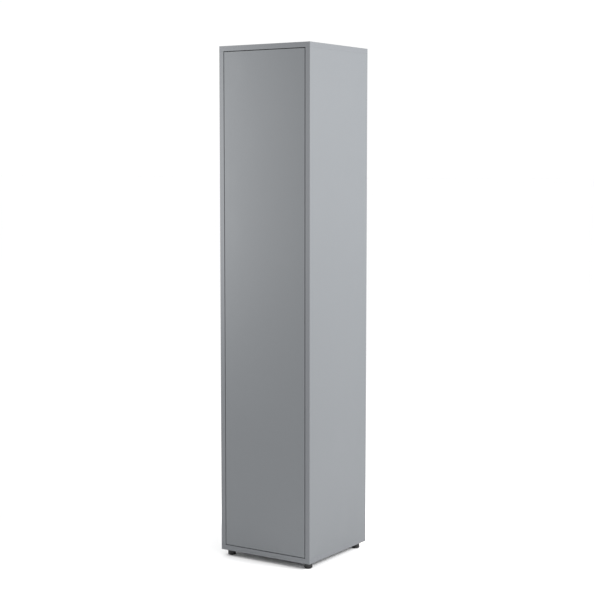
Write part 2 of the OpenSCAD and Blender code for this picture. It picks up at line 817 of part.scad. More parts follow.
// A wire coil in the housing that pushes the plunger out.
module latch_spring() {
    start = plunger_len - spring_seat;
    reach = latch_front + latch_bore - plunger_front - start - 2 * spring_wire_r;
    steps = 16 * spring_turns;
    sides = 6;
    points = [for (i = [0 : steps], k = [0 : sides - 1])
        let (turn = 22.5 * i, r = spring_r + spring_wire_r * cos(60 * k))
        [r * cos(turn), r * sin(turn), start + spring_wire_r * (1 + sin(60 * k)) + reach * i / steps]];
    walls = [for (i = [0 : sides : (steps - 1) * sides], k = [0 : sides - 1])
        let (next = (k + 1) % sides) [i + k, i + next, i + sides + next, i + sides + k]];
    color(steel) translate([plunger_x, plunger_front, latch_z]) rotate([-90, 0, 0])
        polyhedron(points, concat(walls, [[for (k = [sides - 1 : -1 : 0]) k],
            [for (k = [0 : sides - 1]) steps * sides + k]]));
}

// ---- The cabinet ----

side_panel_left();
side_panel_right();
top_panel();
bottom_panel();
back_panel_upper();
back_panel_lower();
back_joint_strip();
fixed_shelf();
loose_shelf(1);  // shelf_1
loose_shelf(2);  // shelf_2
loose_shelf(3);  // shelf_3
loose_shelf(4);  // shelf_4
side_edge_bands();
top_edge_bands();
bottom_edge_bands();
shelf_edge_bands();
shelf_pins();
cam_locks();
cam_dowels();
wood_dowels();
wall_brackets();
bracket_screws();
foot_sockets();
foot(-1, -1);  // foot_front_left
foot(1, -1);  // foot_front_right
foot(-1, 1);  // foot_rear_left
foot(1, 1);  // foot_rear_right
door_panel();
door_edge_bands();
hinge_cup(1);  // hinge_cup_1
hinge_cup(2);  // hinge_cup_2
hinge_cup(3);  // hinge_cup_3
hinge_cup(4);  // hinge_cup_4
hinge_arm(1);  // hinge_arm_1
hinge_arm(2);  // hinge_arm_2
hinge_arm(3);  // hinge_arm_3
hinge_arm(4);  // hinge_arm_4
hinge_plates();
front_link(1);  // hinge_front_link_1
front_link(2);  // hinge_front_link_2
front_link(3);  // hinge_front_link_3
front_link(4);  // hinge_front_link_4
rear_link(1);  // hinge_rear_link_1
rear_link(2);  // hinge_rear_link_2
rear_link(3);  // hinge_rear_link_3
rear_link(4);  // hinge_rear_link_4
hinge_arm_pins();
hinge_cup_pins();
hinge_cup_screws();
hinge_plate_screws();
hinge_arm_screws();
latch_housing();
latch_plunger();
latch_magnet();
latch_spring();
latch_screws();
strike_plate();
strike_screws();
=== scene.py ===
import json
from math import cos, pi, radians, sin, tau

import bmesh
import bpy
from mathutils import Matrix, Vector

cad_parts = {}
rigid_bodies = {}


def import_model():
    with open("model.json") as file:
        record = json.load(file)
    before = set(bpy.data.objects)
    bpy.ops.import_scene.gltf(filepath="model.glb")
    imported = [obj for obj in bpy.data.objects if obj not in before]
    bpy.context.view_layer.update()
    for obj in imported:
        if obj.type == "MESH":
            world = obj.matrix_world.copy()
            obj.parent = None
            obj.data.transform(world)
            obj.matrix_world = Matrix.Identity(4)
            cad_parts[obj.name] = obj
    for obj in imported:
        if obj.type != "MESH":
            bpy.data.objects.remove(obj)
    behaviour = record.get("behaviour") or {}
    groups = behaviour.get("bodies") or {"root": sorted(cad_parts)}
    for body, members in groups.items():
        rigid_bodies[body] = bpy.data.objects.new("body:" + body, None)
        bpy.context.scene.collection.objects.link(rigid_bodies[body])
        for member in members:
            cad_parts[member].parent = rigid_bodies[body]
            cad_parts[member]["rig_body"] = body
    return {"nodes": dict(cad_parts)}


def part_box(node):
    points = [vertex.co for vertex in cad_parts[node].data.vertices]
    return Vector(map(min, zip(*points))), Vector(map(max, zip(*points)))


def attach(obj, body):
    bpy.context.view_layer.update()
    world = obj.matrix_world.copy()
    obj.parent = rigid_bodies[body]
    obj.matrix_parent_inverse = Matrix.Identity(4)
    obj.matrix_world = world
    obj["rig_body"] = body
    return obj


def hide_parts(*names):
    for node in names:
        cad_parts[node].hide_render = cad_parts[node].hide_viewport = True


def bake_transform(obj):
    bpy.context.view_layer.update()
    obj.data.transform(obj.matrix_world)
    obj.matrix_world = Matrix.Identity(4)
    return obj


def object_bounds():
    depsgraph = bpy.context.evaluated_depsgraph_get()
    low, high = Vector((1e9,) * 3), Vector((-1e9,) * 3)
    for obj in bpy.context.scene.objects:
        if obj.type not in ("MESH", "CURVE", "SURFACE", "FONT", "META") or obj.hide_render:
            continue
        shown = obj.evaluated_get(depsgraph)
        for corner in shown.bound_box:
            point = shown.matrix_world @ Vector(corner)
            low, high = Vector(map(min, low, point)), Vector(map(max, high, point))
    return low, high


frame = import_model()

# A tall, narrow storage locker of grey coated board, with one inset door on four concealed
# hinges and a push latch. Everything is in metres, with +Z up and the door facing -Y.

cad_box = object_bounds()
low_corner, high_corner = cad_box


# ---- Camera, room and light ----
# The locker stands in an even white room. A large soft lamp lights its right side, and a
# tall narrow one on the left lets the front darken to the right and towards the floor.

EYE_SIDE = 3.417
EYE_FRONT = -5.191
EYE_HEIGHT = 1.699
EYE_TURN = radians(33.245)
EYE_DIP = radians(5.293)
LENS = 87.26

eye = bpy.data.cameras.new("eye")
eye.lens = LENS
eye.clip_end = 500
camera = bpy.data.objects.new("camera", eye)
camera.location = (EYE_SIDE, EYE_FRONT, EYE_HEIGHT)
camera.rotation_euler = (pi / 2 - EYE_DIP, 0, EYE_TURN)
bpy.context.scene.collection.objects.link(camera)
bpy.context.scene.camera = camera
bpy.context.scene.view_settings.view_transform = "Standard"

ROOM_WHITE = (1.0, 1.0, 1.0, 1)
ROOM_LIGHT = 1.025
room = bpy.data.worlds.new("room")
room.use_nodes = True
room.node_tree.nodes["Background"].inputs["Color"].default_value = ROOM_WHITE
room.node_tree.nodes["Background"].inputs["Strength"].default_value = ROOM_LIGHT
bpy.context.scene.world = room


def hang_lamp(name, place, aim, width, height, watts):
    """A soft lamp of a width and height at a place, facing a point."""
    lamp = bpy.data.lights.new(name, "AREA")
    lamp.shape = "RECTANGLE"
    lamp.size = width
    lamp.size_y = height
    lamp.energy = watts
    hung = bpy.data.objects.new(name, lamp)
    hung.location = place
    hung.rotation_euler = (Vector(aim) - Vector(place)).to_track_quat("-Z", "Y").to_euler()
    bpy.context.scene.collection.objects.link(hung)


hang_lamp("right_lamp", (2.9, 0.55, 2.2), (0.2, 0.0, 1.6), 1.4, 1.4, 145)
hang_lamp("left_lamp", (-1.05, -0.95, 1.75), (0.0, -0.2, 1.7), 0.4, 1.6, 19)


# ---- Surface arithmetic ----
# Every finish is worked out from where a point lies on its piece, so that the grain and
# the speckle have their real size and stay put when the piece moves.

class Signal:
    """A value, colour or vector that changes over a surface: one socket of a finish."""

    def __init__(self, tree, socket=None):
        self.tree = tree
        self.socket = socket

    def node(self, kind, settings=None, inputs=None, output=0):
        """Adds a node: first its settings, then the values or links of its sockets."""
        made = self.tree.nodes.new("ShaderNode" + kind)
        for name, value in (settings or {}).items():
            setattr(made, name, value)
        for name, value in (inputs or {}).items():
            if isinstance(value, Signal):
                self.tree.links.new(value.socket, made.inputs[name])
            else:
                made.inputs[name].default_value = value
        return Signal(self.tree, made.outputs[output] if made.outputs else None)

    def maths(self, operation, first, second):
        return self.node("Math", {"operation": operation}, {0: first, 1: second})

    def __add__(self, other):
        return self.maths("ADD", self, other)

    def __radd__(self, other):
        return self.maths("ADD", other, self)

    def __sub__(self, other):
        return self.maths("SUBTRACT", self, other)

    def __rsub__(self, other):
        return self.maths("SUBTRACT", other, self)

    def __mul__(self, other):
        return self.maths("MULTIPLY", self, other)

    def __rmul__(self, other):
        return self.maths("MULTIPLY", other, self)

    def mix(self, first, second):
        """A colour between two others, by this value."""
        return self.node("Mix", {"data_type": "RGBA"}, {0: self, 6: first, 7: second}, 2)

    def band(self, start, end):
        """0 below start and 1 above end, with a soft step between them."""
        return self.node("MapRange", {"interpolation_type": "SMOOTHSTEP"},
                         {"Value": self, "From Min": start, "From Max": end})

    def spread(self, size, stretch=(1, 1, 1)):
        """A place counted in steps of `size` metres, longer along the stretched axes."""
        steps = [1 / (size * longer) for longer in stretch]
        return self.node("VectorMath", {"operation": "MULTIPLY"}, {0: self, 1: steps})

    def clouds(self, size, stretch=(1, 1, 1), detail=2.0):
        """Soft random values from 0 to 1, in spots of about `size` metres."""
        return self.node("TexNoise", None, {
            "Vector": self.spread(size, stretch), "Scale": 1.0, "Detail": detail})

    def cells(self, size, stretch=(1, 1, 1)):
        """Random cells of about `size` metres: the distance to each one's middle."""
        return self.node("TexVoronoi", None, {
            "Vector": self.spread(size, stretch), "Scale": 1.0}, "Distance")


def new_finish(name):
    """An empty finish, and where each point of the piece lies."""
    finish = bpy.data.materials.new(name)
    finish.use_nodes = True
    finish.node_tree.nodes.clear()
    return finish, Signal(finish.node_tree).node("TexCoord", None, None, "Object")


def complete(finish, place, surface, relief, depth):
    """Ends a finish: its surface sockets, and a relief from 0 to 1 that is `depth` metres high."""
    bump = place.node("Bump", None, {"Strength": 1.0, "Distance": depth, "Height": relief})
    shader = place.node("BsdfPrincipled", None, {**surface, "Normal": bump})
    place.node("OutputMaterial", None, {"Surface": shader})
    return finish


# ---- Carcass boards ----
# Two sides, a top over them and a bottom under them, sawn from 22 mm chipboard with a matt
# grey melamine face. The rear edges, grooves and bores show the raw chipboard.

SAWN_EASE = 0.0003
WELD = 1e-6
FLAT_TURN = radians(0.5)
SHARP_TURN = radians(35)

MELAMINE_LIGHT = (0.134, 0.142, 0.151, 1)
MELAMINE_DARK = (0.111, 0.119, 0.126, 1)
CHIP_PALE = (0.52, 0.38, 0.22, 1)
CHIP_DARK = (0.20, 0.12, 0.06, 1)


def grey_melamine():
    finish, place = new_finish("grey_melamine")
    drift = place.clouds(0.40)
    speckle = place.clouds(0.0012, detail=3)
    fleck = place.cells(0.0024).band(0.08, 0.30)
    pearl = place.cells(0.0006)
    handled = place.clouds(0.11, (1, 1, 1.8), 4).band(0.5, 0.8)
    tone = drift * 0.30 + speckle * 0.85 + fleck * 0.30 - handled * 0.06 - 0.22
    return complete(finish, place, {
        "Base Color": tone.mix(MELAMINE_DARK, MELAMINE_LIGHT),
        "Roughness": 0.48 + speckle * 0.12 - handled * 0.06,
        "Specular IOR Level": 0.42,
    }, speckle * 0.6 + pearl * 0.4, 0.00014)


def raw_chipboard():
    finish, place = new_finish("raw_chipboard")
    chips = place.cells(0.0022, (1.4, 1.4, 0.8))
    fibre = place.clouds(0.0008, (1, 3, 1), 4)
    tone = (chips * 0.55 + fibre * 0.6).band(0.2, 0.85)
    return complete(finish, place, {
        "Base Color": tone.mix(CHIP_DARK, CHIP_PALE),
        "Roughness": 0.80 + fibre * 0.12,
        "Specular IOR Level": 0.25,
    }, chips * 0.5 + fibre * 0.5, 0.0004)


GREY_MELAMINE = grey_melamine()
RAW_CHIPBOARD = raw_chipboard()


def cad_shape(*nodes):
    """The joined shape of CAD nodes, with its flat faces whole again."""
    shape = bmesh.new()
    for node in nodes:
        shape.from_mesh(frame["nodes"][node].data)
    bmesh.ops.remove_doubles(shape, verts=shape.verts, dist=WELD)
    bmesh.ops.dissolve_limit(shape, angle_limit=FLAT_TURN, verts=shape.verts, edges=shape.edges)
    return shape


def ease(shape, radius, chosen=None, steps=3):
    """Rounds a shape's sharp edges, or the chosen ones among them."""
    sharp = [edge for edge in shape.edges
             if edge.is_manifold and edge.calc_face_angle() > SHARP_TURN
             and (chosen is None or chosen(edge))]
    bmesh.ops.bevel(shape, geom=sharp, offset=radius, offset_type="OFFSET", segments=steps,
                    profile=0.5, affect="EDGES", clamp_overlap=True)


def on_plane(axis, position):
    """A test for edges that lie on one plane across an axis."""
    return lambda edge: all(abs(vert.co[axis] - position) < WELD for vert in edge.verts)


def piece_of(name, shape, *finishes):
    """Turns a shape into a smooth piece with crisp edges, in the given finishes."""
    bmesh.ops.dissolve_degenerate(shape, dist=WELD, edges=shape.edges)
    bmesh.ops.recalc_face_normals(shape, faces=shape.faces)
    mesh = bpy.data.meshes.new(name)
    shape.to_mesh(mesh)
    shape.free()
    for finish in finishes:
        mesh.materials.append(finish)
    mesh.polygons.foreach_set("use_smooth", [True] * len(mesh.polygons))
    mesh.set_sharp_from_angle(angle=SHARP_TURN)
    piece = bpy.data.objects.new(name, mesh)
    bpy.context.scene.collection.objects.link(piece)
    weighted = piece.modifiers.new("flat faces stay flat", "WEIGHTED_NORMAL")
    weighted.keep_sharp = True
    return piece


def fit(piece, slot, *nodes):
    """Puts a piece in the place of its CAD nodes, on the body that they ride on."""
    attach(piece, frame["nodes"][nodes[0]]["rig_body"])
    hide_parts(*nodes)


def cut_board(name, node, chosen):
    """A board with a melamine face on both sides and raw chipboard wherever it is cut."""
    shape = cad_shape(node)
    low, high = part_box(node)
    across = min(range(3), key=lambda axis: high[axis] - low[axis])
    ease(shape, SAWN_EASE, chosen)
    shape.normal_update()
    for face in shape.faces:
        middle = face.calc_center_median()[across]
        outside = min(abs(middle - low[across]), abs(middle - high[across])) < SAWN_EASE
        face.material_index = 0 if outside and abs(face.normal[across]) > 0.5 else 1
    fit(piece_of(name, shape, GREY_MELAMINE, RAW_CHIPBOARD), "grey_board", node)


rear_arris = on_plane(1, high_corner.y)
cut_board("left_side_board", "side_panel_left", rear_arris)
cut_board("right_side_board", "side_panel_right", rear_arris)
cut_board("top_board", "top_panel", rear_arris)
cut_board("bottom_board", "bottom_panel", rear_arris)


# ---- Edge bands ----
# Strips of grey plastic, 1 mm thick, glued on with hot melt and scraped round along
# both arrises. They are more even in tone and a little shinier than the melamine.

BAND_EASE = 0.00048

BAND_LIGHT = (0.128, 0.135, 0.144, 1)
BAND_DARK = (0.117, 0.124, 0.134, 1)


def grey_band():
    finish, place = new_finish("grey_edge_band")
    print_tone = place.clouds(0.0009, detail=3)
    long_drift = place.clouds(0.25)
    scraped = place.clouds(0.0025, (1, 1, 6), 2)
    tone = print_tone * 0.6 + long_drift * 0.4
    return complete(finish, place, {
        "Base Color": tone.mix(BAND_DARK, BAND_LIGHT),
        "Roughness": 0.42 + scraped * 0.14,
        "Specular IOR Level": 0.46,
    }, print_tone * 0.5 + scraped * 0.5, 0.00004)


GREY_BAND = grey_band()


def band_strips(name, node, planes):
    """Glued strips whose outer edges, on the given planes, are scraped round."""
    shape = cad_shape(node)
    tests = [on_plane(axis, position) for axis, position in planes]
    ease(shape, BAND_EASE, lambda edge: any(test(edge) for test in tests))
    fit(piece_of(name, shape, GREY_BAND), "edge_band", node)


carcass_planes = [(1, low_corner.y), (0, low_corner.x), (0, high_corner.x)]
band_strips("side_bands", "side_edge_bands", [(1, low_corner.y)])
band_strips("top_bands", "top_edge_bands", carcass_planes)
band_strips("bottom_bands", "bottom_edge_bands", carcass_planes)
band_strips("shelf_bands", "shelf_edge_bands", [(1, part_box("shelf_edge_bands")[0].y)])


# ---- Back ----
# Two sheets of 3 mm fibreboard, slid into the grooves: white lacquer faces the shelves and
# the brown pressed side faces the wall. A white plastic strip of H section joins them.

SHEET_EASE = 0.0002
STRIP_EASE = 0.0003

LACQUER_BRIGHT = (0.84, 0.845, 0.85, 1)
LACQUER_DULL = (0.78, 0.785, 0.79, 1)
STRIP_BRIGHT = (0.66, 0.66, 0.65, 1)
STRIP_DULL = (0.60, 0.60, 0.585, 1)
FIBRE_PALE = (0.33, 0.20, 0.105, 1)
FIBRE_DARK = (0.17, 0.095, 0.045, 1)


def white_lacquer():
    finish, place = new_finish("white_lacquer")
    roller = place.clouds(0.0016, (1, 1, 2), 3)
    drift = place.clouds(0.3)
    return complete(finish, place, {
        "Base Color": (roller * 0.4 + drift * 0.6).mix(LACQUER_DULL, LACQUER_BRIGHT),
        "Roughness": 0.38 + roller * 0.16,
        "Specular IOR Level": 0.45,
    }, roller, 0.00005)


def pressed_fibre():
    finish, place = new_finish("pressed_fibre")
    fluff = place.clouds(0.0030, (1, 1, 1.3), 6)
    shives = place.cells(0.0040, (1, 1, 0.35)).band(0.05, 0.30)
    drift = place.clouds(0.20)
    tone = (fluff * 0.7 + drift * 0.3) * (0.6 + shives * 0.4)
    mesh_mark = place.clouds(0.0011, detail=2)
    return complete(finish, place, {
        "Base Color": tone.band(0.15, 0.75).mix(FIBRE_DARK, FIBRE_PALE),
        "Roughness": 0.72 + fluff * 0.16,
        "Specular IOR Level": 0.3,
    }, fluff * 0.5 + mesh_mark * 0.5, 0.0003)


def white_plastic():
    finish, place = new_finish("white_strip_plastic")
    drawn = place.clouds(0.0006, (40, 1, 1), 2)
    dust = place.clouds(0.05, detail=4)
    return complete(finish, place, {
        "Base Color": (dust * 0.5 + drawn * 0.5).mix(STRIP_DULL, STRIP_BRIGHT),
        "Roughness": 0.34 + dust * 0.12,
        "Specular IOR Level": 0.5,
    }, drawn, 0.00005)


WHITE_LACQUER = white_lacquer()
PRESSED_FIBRE = pressed_fibre()
WHITE_PLASTIC = white_plastic()


def back_sheet(name, node):
    shape = cad_shape(node)
    ease(shape, SHEET_EASE, steps=2)
    shape.normal_update()
    for face in shape.faces:
        face.material_index = 0 if face.normal.y < -0.5 else 1
    fit(piece_of(name, shape, WHITE_LACQUER, PRESSED_FIBRE), "back_sheet", node)


back_sheet("back_sheet_upper", "back_panel_upper")
back_sheet("back_sheet_lower", "back_panel_lower")

joint = cad_shape("back_joint_strip")
ease(joint, STRIP_EASE)
fit(piece_of("back_strip", joint, WHITE_PLASTIC), "joint_strip", "back_joint_strip")


# ---- Shelves ----
# One shelf of the same grey board is fixed at mid height to stiffen the sides; four more
# lie loose on steel pins. Their ends are sawn and only the front edge has a band.

cut_board("middle_shelf", "fixed_shelf", rear_arris)
for number in range(1, 5):
    cut_board(f"loose_shelf_{number}", f"shelf_{number}", lambda edge: edge.calc_length() > 0.01)


# ---- Shelf pins ----
# Turned steel pins of 5 mm, pushed into rows of bores; a collar stops each one at the side's
# face and the shelf lies on its rounded head. The steel is zinc plated and a little blue.

PIN_SIDES = 40
PIN_SHANK = 0.0024
PIN_COLLAR = 0.0030
PIN_COLLAR_LEN = 0.0016
PIN_RIM = 0.0002
PIN_NECK = 0.0026
PIN_HEAD_LEN = 0.008
PIN_ROUND = 0.0005

ZINC_BRIGHT = (0.66, 0.68, 0.71, 1)
ZINC_DULL = (0.46, 0.47, 0.48, 1)
ZINC_GOLD = (0.60, 0.56, 0.45, 1)


def zinc_plate():
    finish, place = new_finish("zinc_plate")
    bloom = place.clouds(0.012, detail=4)
    brushed = place.clouds(0.0004, detail=3)
    worn = place.clouds(0.004, detail=3).band(0.55, 0.75)
    colour = (bloom * 0.7 + brushed * 0.3).mix(ZINC_DULL, ZINC_BRIGHT)
    return complete(finish, place, {
        "Base Color": (worn * 0.35).mix(colour, ZINC_GOLD),
        "Metallic": 0.96 + brushed * 0.04,
        "Roughness": 0.28 + bloom * 0.14 + brushed * 0.06,
    }, brushed, 0.00003)


ZINC_PLATE = zinc_plate()


def solids_of(node):
    """The lowest and the highest corner of each separate solid of a CAD node, from the left."""
    shape = cad_shape(node)
    waiting = set(shape.verts)
    found = []
    while waiting:
        reached = [waiting.pop()]
        corners = []
        while reached:
            vert = reached.pop()
            corners.append(vert.co.copy())
            near = {edge.other_vert(vert) for edge in vert.link_edges} & waiting
            waiting -= near
            reached.extend(near)
        found.append((Vector([min(c[axis] for c in corners) for axis in range(3)]),
                      Vector([max(c[axis] for c in corners) for axis in range(3)])))
    shape.free()
    return sorted(found, key=lambda solid: tuple(solid[0]))


def turn(outline, sides, wobble=None):
    """A turned body along Z. The outline's points are (radius, height) from its foot to its
    head, and wobble(angle, radius, height) adds a thread, flutes or ribs to the radius."""
    shape = bmesh.new()
    rings = []
    for radius, height in outline:
        rings.append([])
        for step in range(sides):
            angle = tau * step / sides
            reach = radius + (wobble(angle, radius, height) if wobble else 0)
            rings[-1].append(shape.verts.new((reach * cos(angle), reach * sin(angle), height)))
    for lower, upper in zip(rings, rings[1:]):
        for step in range(sides):
            shape.faces.new((lower[step - 1], lower[step], upper[step], upper[step - 1]))
    shape.faces.new(rings[0][::-1])
    shape.faces.new(rings[-1])
    return shape


def place_copies(template, node, heading):
    """One shape that holds the template once for each solid of a CAD node. The template's +Z
    goes to the heading, and its head, at z = 0, to the solid's far end on that side."""
    original = bpy.data.meshes.new("template")
    template.to_mesh(original)
    template.free()
    group = bmesh.new()
    for low, high in solids_of(node):
        centre = (low + high) / 2
        out = Vector(heading(centre))
        reach = sum(abs(out[axis]) * (high[axis] - low[axis]) / 2 for axis in range(3))
        facing = out.to_track_quat("Z", "Y").to_matrix().to_4x4()
        stand = Matrix.Translation(centre + out * reach) @ facing
        start = len(group.verts)
        group.from_mesh(original)
        group.verts.ensure_lookup_table()
        bmesh.ops.transform(group, matrix=stand, verts=group.verts[start:])
    bpy.data.meshes.remove(original)
    return group


def inwards(middle):
    """Across the locker, away from the nearer side."""
    return (-1 if middle.x > 0 else 1, 0, 0)


pin_low, pin_high = solids_of("shelf_pins")[0]
pin_len = pin_high.x - pin_low.x
collar_end = PIN_COLLAR_LEN - PIN_HEAD_LEN
shelf_pin = turn([
    (PIN_SHANK - PIN_ROUND, -pin_len), (PIN_SHANK, -pin_len + PIN_ROUND), (PIN_SHANK, -PIN_HEAD_LEN),
    (PIN_COLLAR - PIN_RIM / 2, -PIN_HEAD_LEN), (PIN_COLLAR, -PIN_HEAD_LEN + PIN_RIM),
    (PIN_COLLAR, collar_end - 2 * PIN_RIM), (PIN_COLLAR - PIN_RIM, collar_end - PIN_RIM),
    (PIN_NECK, collar_end), (PIN_NECK, -PIN_COLLAR_LEN),
    (PIN_COLLAR - PIN_RIM, -PIN_COLLAR_LEN + 1.5 * PIN_RIM), (PIN_COLLAR, -PIN_COLLAR_LEN + 3 * PIN_RIM),
    (PIN_COLLAR, -3.5 * PIN_RIM), (PIN_COLLAR - 1.5 * PIN_RIM, -PIN_RIM),
    (PIN_COLLAR - 4.5 * PIN_RIM, 0)], PIN_SIDES)
fit(piece_of("shelf_pin_set", place_copies(shelf_pin, "shelf_pins", inwards), ZINC_PLATE),
    "plated_steel", "shelf_pins")


# ---- Cam locks and their dowels ----
# Die-cast zinc discs that a quarter turn pulls tight on the head of a steel dowel, which is
# screwed into the next board. Fluted beech dowels beside them keep the boards in line.

CAM_EASE = 0.0003
STEEL_DOWEL_SIDES = 32
STEEL_THREAD_PITCH = 0.0018
STEEL_THREAD_CUT = 0.0006
STEEL_THREAD_LEN = 0.011
STEEL_THREAD = 0.0025
STEEL_SHANK = 0.0030
STEEL_NECK = 0.0018
STEEL_NECK_LEN = 0.0075
STEEL_HEAD = 0.0026
STEEL_HEAD_LEN = 0.0025
STEEL_TAPER = 0.001
STEEL_RIM = 0.0001
THREAD_STEPS = 6
BEECH_SIDES = 48
BEECH_RADIUS = 0.0040
BEECH_FLUTES = 12
BEECH_FLUTE_CUT = 0.00025
BEECH_CHAMFER = 0.0010
SHELF_REACH = 0.1

CAST_BRIGHT = (0.56, 0.57, 0.58, 1)
CAST_DULL = (0.33, 0.335, 0.34, 1)
BEECH_PALE = (0.70, 0.50, 0.31, 1)
BEECH_DARK = (0.50, 0.31, 0.16, 1)


def cast_zinc():
    finish, place = new_finish("cast_zinc")
    skin = place.clouds(0.0015, detail=5)
    flow = place.clouds(0.006, (1, 1, 2), 3)
    return complete(finish, place, {
        "Base Color": (skin * 0.5 + flow * 0.5).mix(CAST_DULL, CAST_BRIGHT),
        "Metallic": 0.92 + flow * 0.06,
        "Roughness": 0.42 + skin * 0.22,
    }, skin, 0.00008)


def beech_wood():
    finish, place = new_finish("beech_wood")
    grain = place.clouds(0.0006, (1, 1, 18), 4)
    flecks = place.cells(0.0012, (1, 1, 3)).band(0.0, 0.25)
    return complete(finish, place, {
        "Base Color": (grain * 0.75 + flecks * 0.25).mix(BEECH_DARK, BEECH_PALE),
        "Roughness": 0.60 + grain * 0.18,
        "Specular IOR Level": 0.3,
    }, grain * 0.8 + flecks * 0.2, 0.0001)


CAST_ZINC = cast_zinc()
BEECH_WOOD = beech_wood()


def thread(pitch, cut, low, high):
    """A screw thread that is cut into the radius between two heights."""
    def wobble(angle, radius, height):
        if not low < height < high:
            return 0
        turns = height / pitch - angle / tau
        return -cut * abs(2 * (turns - turns // 1) - 1)
    return wobble


def stretch_of(radius, low, high, step):
    """Points of an outline along a straight stretch, close enough to hold a thread."""
    count = max(1, round((high - low) / step))
    return [(radius, low + (high - low) * index / count) for index in range(count + 1)]


cams = cad_shape("cam_locks")
ease(cams, CAM_EASE, steps=2)
fit(piece_of("cam_set", cams, CAST_ZINC), "cam_metal", "cam_locks")

mid_height = (low_corner.z + high_corner.z) / 2


def from_thread_to_head(middle):
    """Which way a steel dowel's head points: into the side panels or into the shelf."""
    if abs(middle.z - mid_height) < SHELF_REACH:
        return inwards(middle)
    return (0, 0, -1 if middle.z > mid_height else 1)


dowel_low, dowel_high = max(solids_of("cam_dowels"), key=lambda solid: solid[1].z)
dowel_len = dowel_high.z - dowel_low.z
thread_end = -dowel_len + STEEL_THREAD_LEN
neck_end = -STEEL_NECK_LEN - STEEL_HEAD_LEN
steel_dowel = turn(
    [(STEEL_THREAD / 2, -dowel_len)]
    + stretch_of(STEEL_THREAD, -dowel_len + STEEL_TAPER, thread_end, STEEL_THREAD_PITCH / THREAD_STEPS)
    + [(STEEL_SHANK, thread_end + 3 * STEEL_RIM), (STEEL_SHANK, neck_end),
       (STEEL_NECK, neck_end + STEEL_TAPER), (STEEL_NECK, -STEEL_HEAD_LEN),
       (STEEL_HEAD - 3 * STEEL_RIM, -STEEL_HEAD_LEN + STEEL_RIM),
       (STEEL_HEAD, -STEEL_HEAD_LEN + 5 * STEEL_RIM),
       (STEEL_HEAD, -6 * STEEL_RIM), (STEEL_HEAD - 8 * STEEL_RIM, 0)],
    STEEL_DOWEL_SIDES, thread(STEEL_THREAD_PITCH, STEEL_THREAD_CUT, -dowel_len, thread_end))
steel_dowels = place_copies(steel_dowel, "cam_dowels", from_thread_to_head)
fit(piece_of("steel_dowel_set", steel_dowels, ZINC_PLATE), "plated_steel", "cam_dowels")


def fluted(angle, radius, height):
    return -BEECH_FLUTE_CUT * max(0, cos(BEECH_FLUTES * angle)) ** 2


wood_low, wood_high = max(solids_of("wood_dowels"), key=lambda solid: solid[1].z)
wood_len = wood_high.z - wood_low.z
wood_dowel = turn([
    (BEECH_RADIUS - BEECH_CHAMFER, -wood_len), (BEECH_RADIUS, -wood_len + BEECH_CHAMFER),
    (BEECH_RADIUS, -BEECH_CHAMFER), (BEECH_RADIUS - BEECH_CHAMFER, 0)], BEECH_SIDES, fluted)
beech_dowels = place_copies(wood_dowel, "wood_dowels", from_thread_to_head)
fit(piece_of("beech_dowel_set", beech_dowels, BEECH_WOOD), "beech", "wood_dowels")


# ---- Screws ----
# Small wood screws with a domed head, a crossed recess and a coarse thread to a point. They
# are cold formed in steel and zinc plated, and hold the brackets, hinges and latch.

SCREW_SIDES = 36
SCREW_PITCH = 0.0016
SCREW_CUT = 0.0004
SCREW_NECK = 0.0008
SCREW_POINT = 0.15
SCREW_POINT_STEPS = 8
SCREW_TIP_PLAIN = 0.0003
NECK_WAIST = 0.85
HEAD_UNDERCUT = 0.94
HEAD_EDGE = 0.3
DOME_STEPS = 5
RECESS_WIDTH = 0.0009
RECESS_REACH = 1.25
RECESS_FOOT = 0.45
RECESS_MOUTH = 1.3
RECESS_DEPTH = 0.62


def crossed_recess(shape, radius, depth):
    """Cuts a tapered cross into the head, with its middle at the origin."""
    cutter = bmesh.new()
    for quarter in (0, 1):
        corners = []
        for height, share in ((-depth, RECESS_FOOT), (depth, RECESS_MOUTH)):
            for along, side in ((-1, -1), (1, -1), (1, 1), (-1, 1)):
                x, y = along * radius * RECESS_REACH / 2 * share, side * RECESS_WIDTH / 2
                corners.append(cutter.verts.new((y, x, height) if quarter else (x, y, height)))
        for ring in ((3, 2, 1, 0), (4, 5, 6, 7), (0, 1, 5, 4), (1, 2, 6, 5), (2, 3, 7, 6), (3, 0, 4, 7)):
            cutter.faces.new([corners[index] for index in ring])
    bmesh.ops.recalc_face_normals(cutter, faces=cutter.faces)
    bmesh.ops.recalc_face_normals(shape, faces=shape.faces)
    blank = bpy.data.objects.new("blank", bpy.data.meshes.new("blank"))
    tool = bpy.data.objects.new("tool", bpy.data.meshes.new("tool"))
    for part, solid in ((blank, shape), (tool, cutter)):
        solid.to_mesh(part.data)
        solid.free()
        bpy.context.scene.collection.objects.link(part)
    cut = blank.modifiers.new("recess", "BOOLEAN")
    cut.object = tool
    cut.solver = "EXACT"
    cut.use_self = True
    result = bmesh.new()
    result.from_object(blank, bpy.context.evaluated_depsgraph_get())
    for part in (blank, tool):
        mesh = part.data
        bpy.data.objects.remove(part)
        bpy.data.meshes.remove(mesh)
    return result


